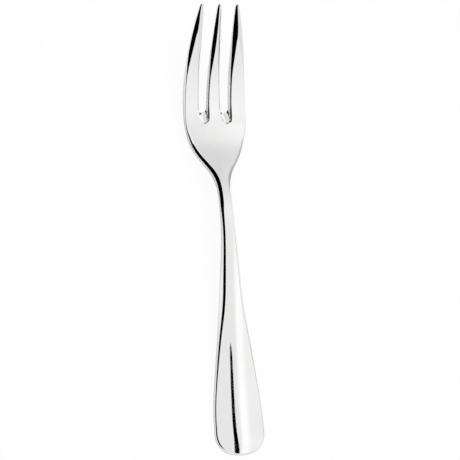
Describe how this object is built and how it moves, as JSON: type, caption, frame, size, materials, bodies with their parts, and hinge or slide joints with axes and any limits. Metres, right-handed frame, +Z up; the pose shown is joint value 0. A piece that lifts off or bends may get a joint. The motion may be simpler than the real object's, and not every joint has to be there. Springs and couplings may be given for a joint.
{
  "type": "pastry fork",
  "caption": "Small pastry fork with a crowned teardrop handle, a slim raised neck, a shallow dished head and tapered, upswept tines.",
  "frame": {"origin": "on the table under the middle of the fork as it lies, centred across and along it", "axes": "+Y along the fork from the handle's round end to the tine tips, +X across it to the right, +Z up from the table through the front face"},
  "size_m": [0.0218, 0.15, 0.0165],
  "materials": {
    "polished_steel": "polished"
  },
  "bodies": {
    "root": {"fork": "polished_steel"}
  },
  "joints": []
}
